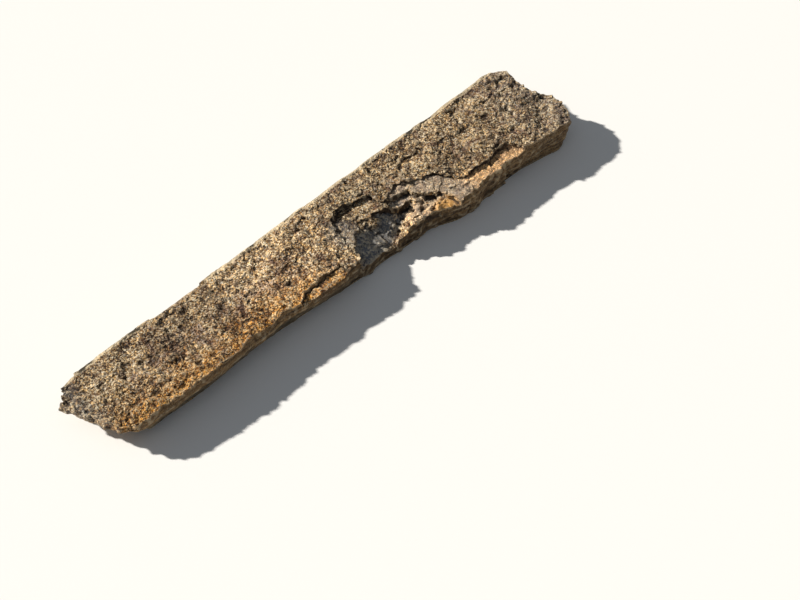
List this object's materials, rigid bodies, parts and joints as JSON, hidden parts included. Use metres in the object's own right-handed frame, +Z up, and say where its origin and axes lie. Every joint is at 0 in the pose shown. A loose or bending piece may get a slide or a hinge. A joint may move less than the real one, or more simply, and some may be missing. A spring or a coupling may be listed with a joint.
{
  "type": "coursed walling stone",
  "caption": "Long low strip of riven brown sandstone with a straight sawn back, a split front and broken ends, laid in courses to face a wall.",
  "frame": {"origin": "middle of the stone's length and depth, on the bed it lies on", "axes": "+X along the course, +Y out of the sawn back, +Z up off the bed"},
  "size_m": [0.62, 0.108, 0.0359],
  "materials": {
    "sandstone": "riven, rust-stained along the front arris"
  },
  "bodies": {
    "root": {"walling_stone": "sandstone"}
  },
  "joints": []
}
